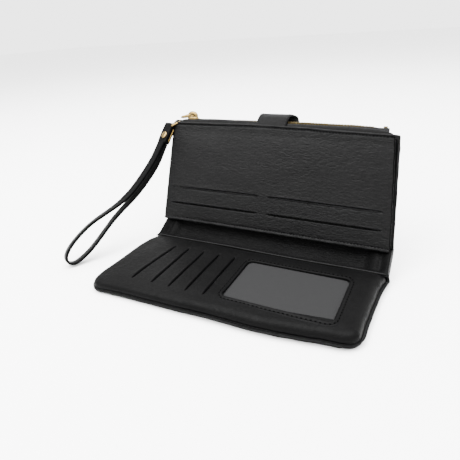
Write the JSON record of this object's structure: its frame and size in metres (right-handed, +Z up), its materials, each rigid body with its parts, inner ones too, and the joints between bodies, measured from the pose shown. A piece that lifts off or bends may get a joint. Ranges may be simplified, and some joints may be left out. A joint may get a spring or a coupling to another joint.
{
  "type": "wristlet wallet",
  "caption": "Long folding leather wallet standing open, with card slots, a window pocket, a zipped coin pocket, a closure tab and a looped wrist strap.",
  "frame": {"origin": "centre of the lower half's flat underside, on the table", "axes": "+X along the fold to the user's right, +Y away from the user towards the fold, +Z up"},
  "size_m": [0.2617, 0.1529, 0.1116],
  "materials": {
    "black_leather": "pebbled, semi-matt",
    "black_lining": "matt woven lining",
    "stiffener_board": "matt board",
    "foam": "soft foam",
    "window_film": "clear flexible film",
    "zip_tape": "woven tape",
    "antique_brass": "dulled brass",
    "gold_metal": "polished pale gold"
  },
  "bodies": {
    "lower_half": {"lower_cover": "black_leather", "lower_board": "stiffener_board", "lower_lining": "black_lining", "card_panel": "black_leather", "edge_filler": "foam", "lower_card_pocket_1": "black_lining", "lower_card_pocket_2": "black_lining", "lower_card_pocket_3": "black_lining", "lower_card_pocket_4": "black_lining", "lower_card_pocket_5": "black_lining", "window_film": "window_film", "window_pocket_back": "black_lining", "window_binding": "black_leather", "panel_piping": "black_leather", "valley_lining_lower": "black_leather", "cover_press_stud": "gold_metal"},
    "spine": {"spine_cover": "black_leather", "spine_board": "stiffener_board", "spine_lining": "black_leather"},
    "upper_half": {"upper_cover": "black_leather", "upper_board": "stiffener_board", "upper_lining": "black_lining", "leaf_panel": "black_leather", "leaf_card_pocket_left_1": "black_lining", "leaf_card_pocket_left_2": "black_lining", "leaf_card_pocket_right_1": "black_lining", "leaf_card_pocket_right_2": "black_lining", "coin_pocket": "black_lining", "zip_tape_back": "zip_tape", "zip_tape_front": "zip_tape", "zip_facing_back": "black_leather", "zip_facing_front": "black_leather", "zip_teeth_back": "antique_brass", "zip_teeth_front": "antique_brass", "zip_bottom_stop": "antique_brass", "leaf_piping_bottom": "black_leather", "leaf_piping_top": "black_leather", "valley_lining_upper": "black_leather", "side_gusset_left": "black_leather", "side_gusset_right": "black_leather", "closure_tab_base": "black_leather", "ring_tab": "black_leather"},
    "zip_slider": {"zip_slider": "gold_metal"},
    "zip_puller": {"zip_puller": "gold_metal"},
    "closure_tab": {"closure_tab": "black_leather", "closure_tab_lining": "black_leather", "tab_press_stud": "gold_metal"},
    "strap_ring": {"strap_ring": "gold_metal"},
    "wrist_strap": {"strap_keeper": "black_leather", "keeper_plate": "gold_metal", "keeper_rivet": "gold_metal", "wrist_strap": "black_leather"}
  },
  "joints": [
    {"name": "fold_lower", "type": "hinge", "parent": "lower_half", "child": "spine", "pos_m": [0, 0.046, 0.0007], "axis": [1, 0, 0], "range_deg": [-33.2, 56.7]},
    {"name": "fold_upper", "type": "hinge", "parent": "spine", "child": "upper_half", "pos_m": [0, 0.06439, 0.01277], "axis": [1, 0, 0], "range_deg": [-33.2, 56.7]},
    {"name": "closure_tab_hinge", "type": "hinge", "parent": "upper_half", "child": "closure_tab", "pos_m": [-0.002, 0.10472, 0.1021], "axis": [-1, 0, 0], "range_deg": [0, 100]},
    {"name": "zip_slide", "type": "slide", "parent": "upper_half", "child": "zip_slider", "axis": [1, 0, 0], "range_m": [0, 0.162]},
    {"name": "puller_hinge", "type": "hinge", "parent": "zip_slider", "child": "zip_puller", "pos_m": [-0.085, 0.10103, 0.10779], "axis": [0, 0.9174, -0.3979], "range_deg": [0, 165]},
    {"name": "ring_swing", "type": "hinge", "parent": "upper_half", "child": "strap_ring", "pos_m": [-0.1036, 0.09964, 0.10158], "axis": [-0.811, 0.527, -0.254], "range_deg": [0, 60]},
    {"name": "strap_swing", "type": "hinge", "parent": "strap_ring", "child": "wrist_strap", "pos_m": [-0.10784, 0.09203, 0.09931], "axis": [-0.811, 0.527, -0.254], "range_deg": [0, 80]}
  ],
  "couplings": [
    {"joint": "fold_upper", "follows": "fold_lower", "ratio": 1}
  ]
}
